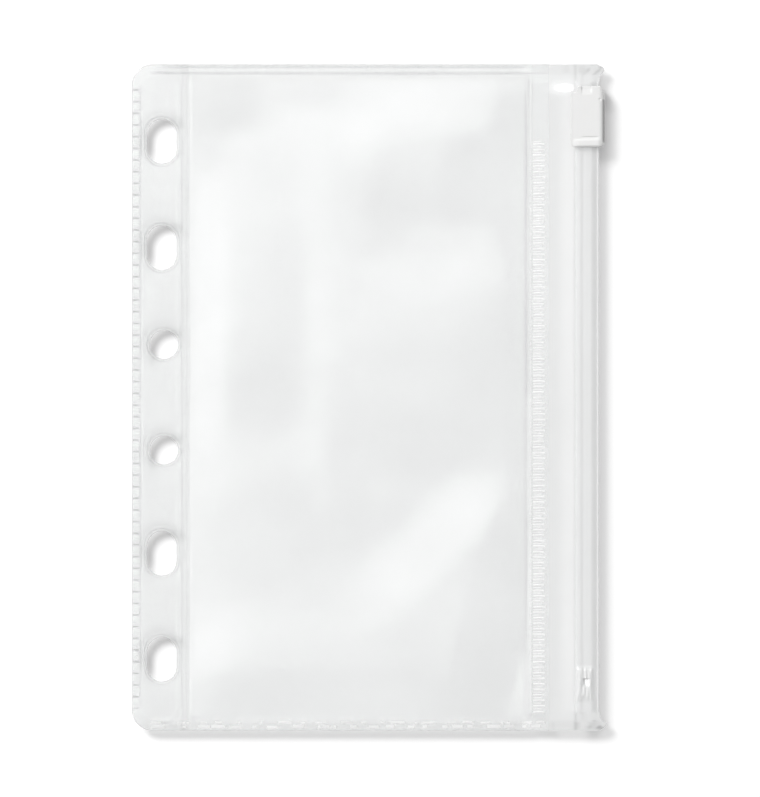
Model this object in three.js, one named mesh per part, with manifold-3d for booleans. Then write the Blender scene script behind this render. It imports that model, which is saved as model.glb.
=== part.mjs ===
// A clear vinyl zip pocket for a small six-ring planner, lying closed on a table.
// Two film sheets are welded together along three edges, and to the flanges of a slide zip along
// the fourth. A slider straddles the zip's two interlocked strips.
// Millimetres. +X runs from the binding edge to the zip, +Y along the zip, +Z up.
// Places are measured from the binding edge (x), the pocket's middle (y) and the table (z).
import * as THREE from 'three';
import { mergeVertices } from 'three/addons/utils/BufferGeometryUtils.js';
import Module from 'manifold-3d';

const wasm = await Module();
wasm.setup();

// Film sheets
const pocketHeight = 122.2;
const filmWidth = 76.5;
const filmThickness = 0.2;
const cornerRadius = 3.8;
const seamWidth = 1.9;
const bulge = 2.3;
const bulgeRampX = 15;
const bulgeRampY = 18;
const rampSteps = 8;

// Punched binding strip. Each hole strays from the even pitch as the punch left it.
const stripWidth = 10.4;
const holeLine = 5.5;
const roundHoleShift = 0.4;
const ringPitch = 19;
const slotWidth = 5.4;
const slotLength = 8.1;
const roundHoleWidth = 5.2;
const punchShift = -0.25;
const holeStray = [-0.3, -0.8, 0.45, 0.1, 0.15, -0.3];

// Relief that the welding tools leave on the front sheet
const reliefHeight = 0.08;
const reliefRoot = 0.05;
const edgeWeldWidth = 1.5;
const rungPitch = 2.14;
const rungWidth = 0.35;
const beadWidth = 0.3;
const beadInset = 1.75;
const beadRadius = 3;
const stripWeldInset = 1.2;
const zipRibPitch = 1.01;
const zipRibWidth = 0.4;
const zipRibLength = 2.2;
const zipRibInset = 0.3;
const zipRibTopGap = 11.1;

// Zip strips, outwards from the film's edge: flange under the film, web, rail, interlock and rim
const flangeOverlap = 3.1;
const flangeThickness = 0.4;
const mouthGap = 0.24;
const weldMargin = 0.2;
const liftLength = 1.4;
const webWidth = 4.8;
const profileWidth = 4.4;
const railHeight = 1.2;
const railChamfer = 0.25;
const railFillet = 0.35;
const rimGroove = 0.9;
const rimGrooveDepth = 1.3;
const rimGrooveSlope = 0.2;

// The barbed head of the front strip and the hooked channel of the back strip
const hookOffset = 1.3;
const headWidth = 1.1;
const headDepth = 0.75;
const tipWidth = 0.4;
const stemWidth = 0.5;
const hookLip = 0.25;
const hookClearance = 0.1;
const channelSpare = 0.1;

// Crushed and welded ends of the strips: [distance from the end, share of the ear's reach]
const crushLength = 1.4;
const crushedShare = 0.42;
const topEarReach = 1;
const topEar = [[0, -0.4], [0.6, 0.8], [1.2, 1], [seamWidth, 0.3]];
const bottomEarReach = 1.5;
const bottomEar = [[0, 0], [0.8, 0.8], [1.4, 1], [seamWidth, 0.3]];

// Slider
const sliderLength = 11.2;
const sliderThickness = 4.2;
const parkGap = 4;
const sliderWeb = 0.75;
const sliderLip = 0.7;
const sideClearance = 0.12;
const rimClearance = 0.25;
const lipClearance = 0.1;
const mouthClearance = 0.18;
const sideRadius = 1.1;
const lipRadius = 0.3;
const endChamfer = 0.25;
const cornerCut = 0.8;
const bladeLength = 3.4;
const bladeThickness = 0.6;
const bladeClearance = 0.35;
const bladeNose = 1.2;
const gripHeight = 0.3;
const gripLength = 1.5;
const fingerGrooveWidth = 0.25;
const fingerGrooveDepth = 0.15;
const rampInset = 1.95;
const rampWidth = 1.85;
const rampLength = 1.55;
const rampDepth = 0.5;

// Staked end stop
const stakeFromEnd = 11.9;
const stakeInset = 0.1;
const stakeLength = 6.8;
const stakeWidth = 3.3;
const stakeHeight = 0.35;
const stakeSlope = 0.4;
const pitInset = 1.5;
const pitDrop = 2.3;
const pitWidth = 1;
const pitLength = 1.4;
const pitDepth = 0.5;

// Places that follow from the sizes above
const weldPlane = bulge + filmThickness;
const filmTop = pocketHeight / 2;
const seamEdge = filmTop - seamWidth;
const crushStart = seamEdge - crushLength;
const flangeStart = filmWidth - flangeOverlap;
const windowEnd = flangeStart - weldMargin;
const railStart = filmWidth + webWidth;
const rimX = railStart + profileWidth;
const flangeInner = mouthGap / 2;
const flangeOuter = flangeInner + flangeThickness;
const channelHalf = railHeight + sideClearance;
const sliderTop = filmTop - parkGap;
const sliderBottom = sliderTop - sliderLength;
const sliderFace = sliderThickness / 2;
const sliderStart = railStart - lipClearance - sliderLip;
const channelEnd = rimX + rimClearance;
const sliderEnd = channelEnd + sliderWeb;
const originX = Math.max(rimX + bottomEarReach, sliderEnd) / 2;
const beyond = 1;

const clearFilm = new THREE.MeshStandardMaterial({
  color: 0xf2f4f4, roughness: 0.12, metalness: 0, transparent: true, opacity: 0.35,
});
const clearZip = new THREE.MeshStandardMaterial({
  color: 0xeceeee, roughness: 0.22, metalness: 0, transparent: true, opacity: 0.6,
});
const milkyPlastic = new THREE.MeshStandardMaterial({ color: 0xf0f0ee, roughness: 0.35, metalness: 0 });

// A closed geometry becomes a solid that can be cut and joined.
function toSolid(geometry) {
  const bare = geometry.clone();
  bare.deleteAttribute('normal');
  bare.deleteAttribute('uv');
  const merged = mergeVertices(bare, 1e-4);
  return new wasm.Manifold(new wasm.Mesh({
    numProp: 3,
    vertProperties: Float32Array.from(merged.attributes.position.array),
    triVerts: Uint32Array.from(merged.index.array),
  }));
}

function toGeometry(solid) {
  const mesh = solid.getMesh();
  const geometry = new THREE.BufferGeometry();
  geometry.setAttribute('position', new THREE.BufferAttribute(Float32Array.from(mesh.vertProperties), 3));
  geometry.setIndex(Array.from(mesh.triVerts));
  geometry.computeVertexNormals();
  return geometry;
}

function indexedSolid(position, index) {
  const geometry = new THREE.BufferGeometry();
  geometry.setAttribute('position', new THREE.Float32BufferAttribute(position, 3));
  geometry.setIndex(index);
  return toSolid(geometry);
}

function between(value, low, high) {
  return Math.min(Math.max(value, low), high);
}

// A height over the weld plane, on the front side (+1) or mirrored on the back side (-1)
function levelOn(side) {
  return (height) => weldPlane + side * height;
}

function outline(points) {
  return new THREE.Shape(points.map(([x, y]) => new THREE.Vector2(x, y)));
}

function rectangle(x0, x1, y0, y1) {
  return outline([[x0, y0], [x1, y0], [x1, y1], [x0, y1]]);
}

function roundedRectangle(x0, x1, y0, y1, r) {
  const path = new THREE.Shape();
  path.absarc(x1 - r, y1 - r, r, 0, Math.PI / 2, false);
  path.absarc(x0 + r, y1 - r, r, Math.PI / 2, Math.PI, false);
  path.absarc(x0 + r, y0 + r, r, Math.PI, 1.5 * Math.PI, false);
  path.absarc(x1 - r, y0 + r, r, -Math.PI / 2, 0, false);
  return path;
}

// A prism along Z between two levels, from an outline in X and Y
function prism(shape, low, high, curveSegments = 8) {
  const geometry = new THREE.ExtrudeGeometry(shape, {
    depth: high - low, bevelEnabled: false, curveSegments,
  });
  geometry.translate(0, 0, low);
  return toSolid(geometry);
}

// A cutter that passes through the whole thickness of the pocket
function throughCut(shape) {
  return prism(shape, -beyond, 2 * weldPlane + beyond);
}

// A prism along Y between two places, from an outline in X and Z
function lengthwiseBar(shape, start, end, curveSegments = 4) {
  const geometry = new THREE.ExtrudeGeometry(shape, {
    depth: end - start, bevelEnabled: false, curveSegments,
  });
  geometry.rotateX(Math.PI / 2);
  geometry.translate(0, end, 0);
  return toSolid(geometry);
}

// A prism along X between two places, from an outline in Y and Z
function crossBar(points, start, end) {
  const geometry = new THREE.ExtrudeGeometry(outline(points), { depth: end - start, bevelEnabled: false });
  geometry.applyMatrix4(new THREE.Matrix4().set(0, 0, 1, start, 1, 0, 0, 0, 0, 1, 0, 0, 0, 0, 0, 1));
  return toSolid(geometry);
}

// A round-ended slot along Y, or a round hole where the length equals the width
function slotShape(x, y, width, length) {
  const r = width / 2;
  const half = (length - width) / 2;
  const shape = new THREE.Shape();
  shape.absarc(x, y + half, r, 0, Math.PI, false);
  shape.absarc(x, y - half, r, Math.PI, 2 * Math.PI, false);
  return shape;
}

// A slab between two height functions over a grid of x and y lines
function gridSlab(xs, ys, lower, upper) {
  const position = [];
  const index = [];
  const columns = ys.length;
  const layer = xs.length * columns;
  for (const height of [lower, upper]) {
    for (const x of xs) {
      for (const y of ys) {
        position.push(x, y, height(x, y));
      }
    }
  }
  const at = (i, j) => i * columns + j;
  const quad = (a, b, c, d) => index.push(a, b, c, a, c, d);
  for (let i = 0; i + 1 < xs.length; i++) {
    for (let j = 0; j + 1 < columns; j++) {
      quad(layer + at(i, j), layer + at(i + 1, j), layer + at(i + 1, j + 1), layer + at(i, j + 1));
      quad(at(i, j), at(i, j + 1), at(i + 1, j + 1), at(i + 1, j));
    }
  }
  const wall = (a, b) => quad(a, b, layer + b, layer + a);
  const lastX = xs.length - 1;
  const lastY = columns - 1;
  for (let i = 0; i < lastX; i++) {
    wall(at(i, 0), at(i + 1, 0));
    wall(at(i + 1, lastY), at(i, lastY));
  }
  for (let j = 0; j < lastY; j++) {
    wall(at(lastX, j), at(lastX, j + 1));
    wall(at(0, j + 1), at(0, j));
  }
  return indexedSolid(position, index);
}

// How flat the zip's ends are crushed: 1 along the zip, down to crushedShare at the two seams
function crush(y) {
  const into = (Math.abs(y) - crushStart) / crushLength;
  return 1 - (1 - crushedShare) * between(into, 0, 1);
}

// Half the gap between the films: nothing at the seams, the flange's height at the zip,
// and a quarter sine wave from every weld up to the full bulge, over the two bulge ramps
function halfGap(x, y) {
  const lift = flangeOuter * crush(y) * between((x - windowEnd) / liftLength + 1, 0, 1);
  const acrossX = between(Math.min(x - stripWidth, windowEnd - x) / bulgeRampX, 0, 1);
  const acrossY = between((seamEdge - Math.abs(y)) / bulgeRampY, 0, 1);
  const swell = Math.sin(acrossX * Math.PI / 2) * Math.sin(acrossY * Math.PI / 2);
  return lift + (bulge - lift) * swell;
}

// Grid lines over a ramp, from its start by its length
function rampLines(start, length) {
  return Array.from({ length: rampSteps + 1 }, (_, k) => start + k * length / rampSteps);
}

function sorted(values) {
  return [...new Set(values)].sort((a, b) => a - b);
}

const holes = holeStray.map((stray, k) => {
  const y = ringPitch * (2.5 - k) + punchShift + stray;
  const isRound = k === 2 || k === 3;
  return isRound
    ? slotShape(holeLine + roundHoleShift, y, roundHoleWidth, roundHoleWidth)
    : slotShape(holeLine, y, slotWidth, slotLength);
});

// One punched sheet: side is +1 for the front film and -1 for the back film
function film(side) {
  const level = levelOn(side);
  const halfYs = [...rampLines(seamEdge, -bulgeRampY), crushStart, filmTop];
  const xs = sorted([
    0, ...rampLines(stripWidth, bulgeRampX), ...rampLines(windowEnd, -bulgeRampX),
    windowEnd - liftLength, filmWidth,
  ]);
  const ys = sorted([...halfYs, ...halfYs.map((y) => -y)]);
  const inner = (x, y) => level(halfGap(x, y));
  const outer = (x, y) => level(halfGap(x, y) + filmThickness);
  let sheet = side > 0 ? gridSlab(xs, ys, inner, outer) : gridSlab(xs, ys, outer, inner);

  const edge = new THREE.Shape();
  edge.moveTo(filmWidth + beyond, -filmTop);
  edge.lineTo(filmWidth + beyond, filmTop);
  edge.absarc(cornerRadius, filmTop - cornerRadius, cornerRadius, Math.PI / 2, Math.PI, false);
  edge.absarc(cornerRadius, cornerRadius - filmTop, cornerRadius, Math.PI, 1.5 * Math.PI, false);
  sheet = sheet.intersect(throughCut(edge));
  for (const hole of holes) {
    sheet = sheet.subtract(throughCut(hole));
  }
  return sheet;
}

// Places at an even pitch between two ends, centred on the stretch between them
function evenly(start, end, pitch) {
  const count = Math.floor((end - start) / pitch);
  const first = (start + end - count * pitch) / 2;
  return Array.from({ length: count + 1 }, (_, k) => first + k * pitch);
}

// Rungs across the three edge welds, beads beside the binding strip, and the ribs of the zip weld
function addWeldRelief(sheet) {
  const seamLevel = weldPlane + filmThickness;
  const zipLevel = seamLevel + flangeOuter;
  const raised = (shape, level) => prism(shape, level - reliefRoot, level + reliefHeight, 4);
  const relief = [];
  const half = rungWidth / 2;
  for (const y of evenly(cornerRadius - filmTop, filmTop - cornerRadius, rungPitch)) {
    relief.push(raised(rectangle(beadWidth / 2, edgeWeldWidth, y - half, y + half), seamLevel));
  }
  const rungEnd = windowEnd - liftLength - rungPitch;
  for (const x of evenly(cornerRadius + rungPitch, rungEnd, rungPitch)) {
    for (const end of [-1, 1]) {
      const near = end * (filmTop - beadWidth / 2);
      const far = end * (filmTop - edgeWeldWidth);
      const span = [Math.min(near, far), Math.max(near, far)];
      relief.push(raised(rectangle(x - half, x + half, ...span), seamLevel));
    }
  }
  const beadEnd = stripWidth - stripWeldInset;
  const beadTop = filmTop - beadInset;
  const bead = roundedRectangle(beadInset, beadEnd, -beadTop, beadTop, beadRadius);
  bead.holes.push(roundedRectangle(
    beadInset + beadWidth, beadEnd - beadWidth, beadWidth - beadTop, beadTop - beadWidth,
    beadRadius - beadWidth,
  ));
  relief.push(raised(bead, seamLevel));
  const weldLine = rectangle(stripWidth - 2 * beadWidth, stripWidth - beadWidth, -seamEdge, seamEdge);
  relief.push(raised(weldLine, seamLevel));
  const ribStart = windowEnd + zipRibInset;
  for (const y of evenly(-crushStart + zipRibWidth, filmTop - zipRibTopGap, zipRibPitch)) {
    const rib = rectangle(ribStart, ribStart + zipRibLength, y - zipRibWidth / 2, y + zipRibWidth / 2);
    relief.push(raised(rib, zipLevel));
  }
  return relief.reduce((joined, bar) => joined.add(bar), sheet);
}

// A closed profile of [x, height over the weld plane] points carried along Y through stations.
// A station flattens the profile, and spreads what lies outside the film's edge outwards.
function crushedExtrusion(points, stations) {
  const position = [];
  const index = [];
  const count = points.length;
  for (const { y, reach } of stations) {
    for (const [x, height] of points) {
      const spread = reach * Math.max(0, (x - filmWidth) / (rimX - filmWidth));
      position.push(x + spread, y, weldPlane + height * crush(y));
    }
  }
  for (let k = 0; k + 1 < stations.length; k++) {
    for (let n = 0; n < count; n++) {
      const a = k * count + n;
      const b = k * count + (n + 1) % count;
      index.push(a, a + count, b + count, a, b + count, b);
    }
  }
  const flat = points.map(([x, height]) => new THREE.Vector2(x, height));
  const last = (stations.length - 1) * count;
  for (const [a, b, c] of THREE.ShapeUtils.triangulateShape(flat, [])) {
    index.push(a, b, c, last + c, last + b, last + a);
  }
  return indexedSolid(position, index);
}

// The outside of a strip, from the rim over the rail to the flange's inner edge
function outerFace(side) {
  return [
    [rimX, side * rimGroove / 2],
    [rimX, side * (railHeight - railChamfer)],
    [rimX - railChamfer, side * railHeight],
    [railStart + railChamfer, side * railHeight],
    [railStart, side * (railHeight - railChamfer)],
    [railStart, side * (flangeOuter + railFillet / 3)],
    [railStart - railFillet, side * flangeOuter],
    [filmWidth, side * flangeOuter],
    [flangeStart, side * flangeOuter],
    [flangeStart, side * flangeInner],
    [filmWidth, side * flangeInner],
  ];
}

// The inside of a strip, from the interlock's far side to the groove between the rims
function rimInside(side) {
  const start = rimX - rimGrooveDepth;
  return [
    [start - rimGrooveSlope, side * flangeInner],
    [start, side * rimGroove / 2],
  ];
}

const hookCentre = railStart + hookOffset;
const lipUnder = -(flangeInner + hookLip);
const headTop = lipUnder - hookClearance;
const channelFloor = -(headDepth + hookClearance);
const mouthHalf = stemWidth / 2 + hookClearance;
const channelSide = headWidth / 2 + hookClearance + channelSpare;

const frontProfile = [
  ...outerFace(1),
  [hookCentre - stemWidth / 2, flangeInner],
  [hookCentre - stemWidth / 2, headTop],
  [hookCentre - headWidth / 2, headTop],
  [hookCentre - tipWidth / 2, -headDepth],
  [hookCentre + tipWidth / 2, -headDepth],
  [hookCentre + headWidth / 2, headTop],
  [hookCentre + stemWidth / 2, headTop],
  [hookCentre + stemWidth / 2, flangeInner],
  ...rimInside(1),
];

const backProfile = [
  ...outerFace(-1),
  [hookCentre - mouthHalf, -flangeInner],
  [hookCentre - mouthHalf, lipUnder],
  [hookCentre - channelSide, lipUnder],
  [hookCentre - channelSide, channelFloor],
  [hookCentre + channelSide, channelFloor],
  [hookCentre + channelSide, lipUnder],
  [hookCentre + mouthHalf, lipUnder],
  [hookCentre + mouthHalf, -flangeInner],
  ...rimInside(-1),
].reverse();

const zipStations = [
  ...bottomEar.map(([inset, share]) => ({ y: inset - filmTop, reach: share * bottomEarReach })),
  { y: -crushStart, reach: 0 },
  { y: crushStart, reach: 0 },
  ...topEar.map(([inset, share]) => ({ y: filmTop - inset, reach: share * topEarReach })).reverse(),
];

// The end stop is staked after the slider is threaded on: a square punch crushes the closed rails
// together and swells their backs, so that the slider's legs cannot pass.
function stake(strip, side) {
  const level = levelOn(side);
  const start = stakeFromEnd - filmTop;
  const end = start - stakeLength;
  const crest = railHeight + stakeHeight;
  const startX = railStart + stakeInset;
  const swelling = crossBar([
    [start, level(railHeight - reliefRoot)],
    [start - stakeSlope, level(crest)],
    [end + stakeSlope, level(crest)],
    [end, level(railHeight - reliefRoot)],
  ], startX, startX + stakeWidth);
  const pitTop = start - pitDrop;
  const pit = crossBar([
    [pitTop - pitLength, level(crest + beyond)],
    [pitTop, level(crest + beyond)],
    [pitTop, level(crest - pitDepth)],
    [pitTop - pitLength, level(crest - pitDepth)],
  ], startX + pitInset, startX + pitInset + pitWidth);
  return strip.add(swelling).subtract(pit);
}

function zipStrip(side) {
  const strip = crushedExtrusion(side > 0 ? frontProfile : backProfile, zipStations);
  return stake(strip, side);
}

// The slider's C section: a web outside the rim, two legs over the rails and lips behind them
function sliderSection() {
  const lipEnd = sliderStart + sliderLip;
  const mouth = flangeOuter + mouthClearance;
  const section = new THREE.Shape();
  section.moveTo(sliderStart, weldPlane + mouth);
  section.lineTo(lipEnd, weldPlane + mouth);
  section.lineTo(lipEnd, weldPlane + channelHalf);
  section.lineTo(channelEnd, weldPlane + channelHalf);
  section.lineTo(channelEnd, weldPlane - channelHalf);
  section.lineTo(lipEnd, weldPlane - channelHalf);
  section.lineTo(lipEnd, weldPlane - mouth);
  section.lineTo(sliderStart, weldPlane - mouth);
  const low = weldPlane - sliderFace;
  const high = weldPlane + sliderFace;
  const lipX = sliderStart + lipRadius;
  const sideX = sliderEnd - sideRadius;
  section.absarc(lipX, low + lipRadius, lipRadius, Math.PI, 1.5 * Math.PI, false);
  section.absarc(sideX, low + sideRadius, sideRadius, -Math.PI / 2, 0, false);
  section.absarc(sideX, high - sideRadius, sideRadius, 0, Math.PI / 2, false);
  section.absarc(lipX, high - lipRadius, lipRadius, Math.PI / 2, Math.PI, false);
  return section;
}

// The grip is a raised bar across each leg at its lower end, with a fine groove above it.
function addGrip(body, side) {
  const level = levelOn(side);
  const gripEnd = sliderBottom + gripLength;
  const rise = gripHeight / 3;
  const grip = crossBar([
    [sliderBottom + rise, level(sliderFace - gripHeight)],
    [sliderBottom + rise, level(sliderFace + rise)],
    [sliderBottom + gripHeight, level(sliderFace + gripHeight)],
    [gripEnd - gripHeight, level(sliderFace + gripHeight)],
    [gripEnd, level(sliderFace - gripHeight)],
  ], sliderStart + lipRadius, sliderEnd - sideRadius);
  const groove = crossBar([
    [gripEnd, level(sliderFace + beyond)],
    [gripEnd, level(sliderFace - fingerGrooveDepth)],
    [gripEnd + fingerGrooveWidth, level(sliderFace - fingerGrooveDepth)],
    [gripEnd + fingerGrooveWidth, level(sliderFace + beyond)],
  ], sliderStart + 2 * lipRadius, sliderEnd - sideRadius - lipRadius);
  return body.add(grip).subtract(groove);
}

// The upper end of each leg is chamfered, and a thumb ramp is sunk in it.
function addRamp(body, side) {
  const level = levelOn(side);
  const chamfer = crossBar([
    [sliderTop + beyond, level(sliderFace + beyond)],
    [sliderTop - endChamfer - beyond, level(sliderFace + beyond)],
    [sliderTop + beyond, level(sliderFace - endChamfer - beyond)],
  ], sliderStart - beyond, sliderEnd + beyond);
  const ramp = crossBar([
    [sliderTop - rampLength, level(sliderFace)],
    [sliderTop, level(sliderFace - rampDepth)],
    [sliderTop + beyond, level(sliderFace - rampDepth)],
    [sliderTop + beyond, level(sliderFace + beyond)],
    [sliderTop - rampLength, level(sliderFace + beyond)],
  ], sliderStart + rampInset, sliderStart + rampInset + rampWidth);
  return body.subtract(chamfer).subtract(ramp);
}

// The separator blade stands on the web, in the groove between the two rims.
function blade() {
  const tip = rimX - rimGrooveDepth + bladeClearance;
  const root = channelEnd + sliderWeb / 3;
  const start = sliderTop - bladeLength;
  const wedge = outline([
    [root, start],
    [root, sliderTop - endChamfer],
    [tip, sliderTop - endChamfer],
    [tip, start + bladeNose],
  ]);
  return prism(wedge, weldPlane - bladeThickness / 2, weldPlane + bladeThickness / 2);
}

function slider() {
  let body = lengthwiseBar(sliderSection(), sliderBottom, sliderTop);
  for (const side of [1, -1]) {
    body = addRamp(addGrip(body, side), side);
  }
  const corner = outline([
    [sliderEnd - cornerCut - beyond, sliderTop + beyond],
    [sliderEnd + beyond, sliderTop - cornerCut - beyond],
    [sliderEnd + beyond, sliderTop + beyond],
  ]);
  return body.add(blade()).subtract(throughCut(corner));
}

const group = new THREE.Group();
group.name = 'planner_zip_pocket';
group.position.x = -originX;

function place(name, solid, material) {
  const mesh = new THREE.Mesh(toGeometry(solid), material);
  mesh.name = name;
  group.add(mesh);
}

place('back_film', film(-1), clearFilm);
place('front_film', addWeldRelief(film(1)), clearFilm);
place('zip_back_strip', zipStrip(-1), clearZip);
place('zip_front_strip', zipStrip(1), clearZip);
place('slider', slider(), milkyPlastic);

export default group;
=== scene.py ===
import math

import bmesh
import bpy
import numpy as np
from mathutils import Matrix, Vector


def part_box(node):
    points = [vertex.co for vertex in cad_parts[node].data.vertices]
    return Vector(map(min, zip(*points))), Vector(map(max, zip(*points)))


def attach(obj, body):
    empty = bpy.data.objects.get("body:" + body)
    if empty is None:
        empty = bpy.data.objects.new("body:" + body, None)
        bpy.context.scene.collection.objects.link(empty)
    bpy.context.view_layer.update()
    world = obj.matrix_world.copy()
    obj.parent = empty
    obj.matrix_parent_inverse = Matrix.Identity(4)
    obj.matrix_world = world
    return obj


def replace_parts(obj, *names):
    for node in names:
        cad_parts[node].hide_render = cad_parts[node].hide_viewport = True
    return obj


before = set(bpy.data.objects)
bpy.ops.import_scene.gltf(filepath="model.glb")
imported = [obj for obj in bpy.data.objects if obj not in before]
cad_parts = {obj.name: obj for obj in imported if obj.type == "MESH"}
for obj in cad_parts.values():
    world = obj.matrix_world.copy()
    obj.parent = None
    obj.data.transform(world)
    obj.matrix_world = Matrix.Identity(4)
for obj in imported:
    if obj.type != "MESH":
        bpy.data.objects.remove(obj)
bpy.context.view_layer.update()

MM = 0.001


def corners_of(node):
    """A node's lowest and highest corner in millimetres."""
    return [np.array(corner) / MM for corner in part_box(node)]


film_low, film_high = corners_of("front_film")
zip_low, _ = corners_of("zip_front_strip")
slider_low, slider_high = corners_of("slider")

# Places read from the frame
EDGE = film_low[0]
FILM_WIDTH = film_high[0] - EDGE
HALF = film_high[1]
WELD = film_low[2]
FLANGE_START = zip_low[0] - EDGE
SLIDER_START = slider_low[0] - EDGE
SLIDER_END = slider_high[0] - EDGE
SLIDER_LOW = slider_low[1]
SLIDER_TOP = slider_high[1]

# Film and its welds
FILM = 0.2
BULGE = film_high[2] - WELD - FILM
CORNER = 3.8
SEAM = 1.9
STRIP = 10.4
WINDOW_END = FLANGE_START - 0.2
LIFT_LENGTH = 1.4
FLANGE_IN = 0.12
FLANGE_OUT = 0.52
AIR = 0.012
SWELL_U = 15.0
SWELL_V = 18.0
DENT_LIMIT = 0.36
SWELL_SHOWN = 0.1
CRUSHED = 0.42
CRUSH_LENGTH = 1.4
FRAME_LINE = 1.42
FRAME_END = 9.15
FRAME_RADIUS = 3.0
RUNG_PITCH = 2.14
RUNG_SHIFT = 0.75
RUNG_WIDTH = 0.17
RIB_PITCH = 1.01
RIBS_END = HALF - 13.8
BAR_ROWS = 9
BAR_COLUMNS = 7

# Punched holes: centre line, pitch, and how far each strays from the pitch
HOLE_LINE = 5.5
ROUND_SHIFT = 0.4
RING_PITCH = 19.0
PUNCH_SHIFT = -0.25
STRAY = (-0.3, -0.8, 0.45, 0.1, 0.15, -0.3)
SLOT_RADIUS = 2.7
SLOT_STRAIGHT = 1.35
ROUND_RADIUS = 2.6

# The grid round a hole: half sizes of its block, and the first rings' distances from its edge
BLOCK_U = 3.9
BLOCK_V = 5.3
HOLE_RINGS = np.array([0.0, 0.04, 0.12, 0.2, 0.29, 0.36, 0.42, 0.48, 0.56])

# Zip strips
RAIL_START = FILM_WIDTH + 4.8
RIM = RAIL_START + 4.4
RAIL = 1.2
TOP_REACH = 1.0
BOTTOM_REACH = 1.5
END_CRINKLE = 0.14
GLEAM = (FILM_WIDTH + 2.45, 56.8)
GLEAM_TILT = 0.45
STAKE_TOP = 11.9 - HALF
STAKE_LENGTH = 6.8

# How the dents are worked out: slope of a full tilt, grid step, wave number under which waves
# fade, and how strongly waves across the light are held back
TILT = 0.05
DENT_STEP = 0.5
LONG_WAVE = 2 * math.pi / 160
CROSSWISE = 0.03

# Soft dents that the film shows in the light: place, half sizes, turn in degrees, tilt to the
# light as a share of TILT, and how hard the dent's border is
DENTS = (
    (16.5, 54.0, 7.5, 5.0, 0, -1.2, 3.5),
    (13.5, 46.5, 4.0, 6.5, -15, -0.8, 3.0),
    (33.3, 55.7, 6.0, 3.0, 0, -0.6, 3.0),
    (42.5, 50.0, 3.0, 5.0, -15, 0.42, 2.0),
    (55.3, 54.2, 9.5, 4.0, 0, 0.42, 3.0),
    (55.4, 39.9, 12.5, 8.2, 2, -0.6, 7.0),
    (45.0, 33.0, 3.0, 6.5, 0, -0.15, 5.0),
    (63.5, 40.0, 7.0, 8.6, 0, -0.65, 6.0),
    (70.0, 42.7, 3.4, 14.0, 0, -1.7, 4.0),
    (71.0, 7.8, 2.3, 24.0, 0, -1.1, 3.0),
    (54.4, 21.6, 14.0, 5.5, 8, 0.5, 3.0),
    (34.2, 22.5, 2.5, 20.0, 0, 0.35, 2.0),
    (52.5, -2.0, 16.5, 13.0, 0, -0.55, 8.0),
    (39.5, -14.0, 4.0, 13.0, 0, -0.45, 5.0),
    (54.4, -27.0, 17.0, 5.5, 44, 1.3, 3.0),
    (66.8, -40.5, 5.5, 22.0, -14, -1.3, 7.0),
    (71.5, -52.7, 1.8, 5.0, 0, 0.9, 2.0),
    (25.1, 13.3, 7.3, 20.0, 0, -0.45, 6.0),
    (22.9, -0.4, 6.0, 6.0, 0, -0.35, 5.0),
    (13.7, 17.0, 3.5, 27.0, 0, 0.7, 4.0),
    (25.1, -25.2, 10.0, 10.0, 30, -0.5, 5.0),
    (14.4, -45.3, 5.0, 6.0, 0, 0.8, 2.0),
    (34.2, -42.6, 13.0, 5.0, 0, 0.3, 2.0),
    (33.3, -53.9, 20.0, 4.3, 0, -0.6, 5.0),
)

# Share of a lamp's light that passes each skin on its way to the table
FILM_SHADE = 0.975
WELD_SHADE = 0.66
WEB_SHADE = 0.96
FLANGE_SHADE = 0.99
RAIL_SHADE = 0.84
PUNCH_SHADE = 0.4
SLIDER_SHADE = 0.83

# The way to the key light on the table, upper left
LIGHT = np.array([-0.707, 0.707])

# The table: how bright the camera meets it, its gap under the pocket, its radius in metres
TABLE_SEEN = 1.13
TABLE_GAP = 0.03
TABLE_RADIUS = 3.0
TABLE_SIDES = 96

# The camera's frame on the table in millimetres
PHOTO_HEIGHT = 797 / 5.452
PHOTO_MIDDLE = (1.9, -0.18)


def smooth(x, low, high):
    """0 below low, 1 above high, and 3t^2 - 2t^3 in between."""
    t = np.clip((x - low) / (high - low), 0.0, 1.0)
    return t * t * (3.0 - 2.0 * t)


def groove(distance, width):
    """A bell of height 1 over a line: e to the minus square of distance over width."""
    return np.exp(-(distance / width) ** 2)


def ripple(u, v, lengths, seed):
    """Three crossed sine waves for each wavelength, turned and shifted at random: their mean."""
    draw = np.random.default_rng(seed)
    total = np.zeros(np.broadcast(u, v).shape)
    for length in lengths:
        for turn, phase in zip(draw.uniform(0, math.pi, 3), draw.uniform(0, 2 * math.pi, 3)):
            way = math.cos(turn) * u + math.sin(turn) * v
            total = total + np.sin(2 * math.pi * way / length + phase)
    return total / (3 * len(lengths))


def in_scene(name, data):
    """A new object with that data, linked to the scene."""
    made = bpy.data.objects.new(name, data)
    bpy.context.scene.collection.objects.link(made)
    return made


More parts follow.
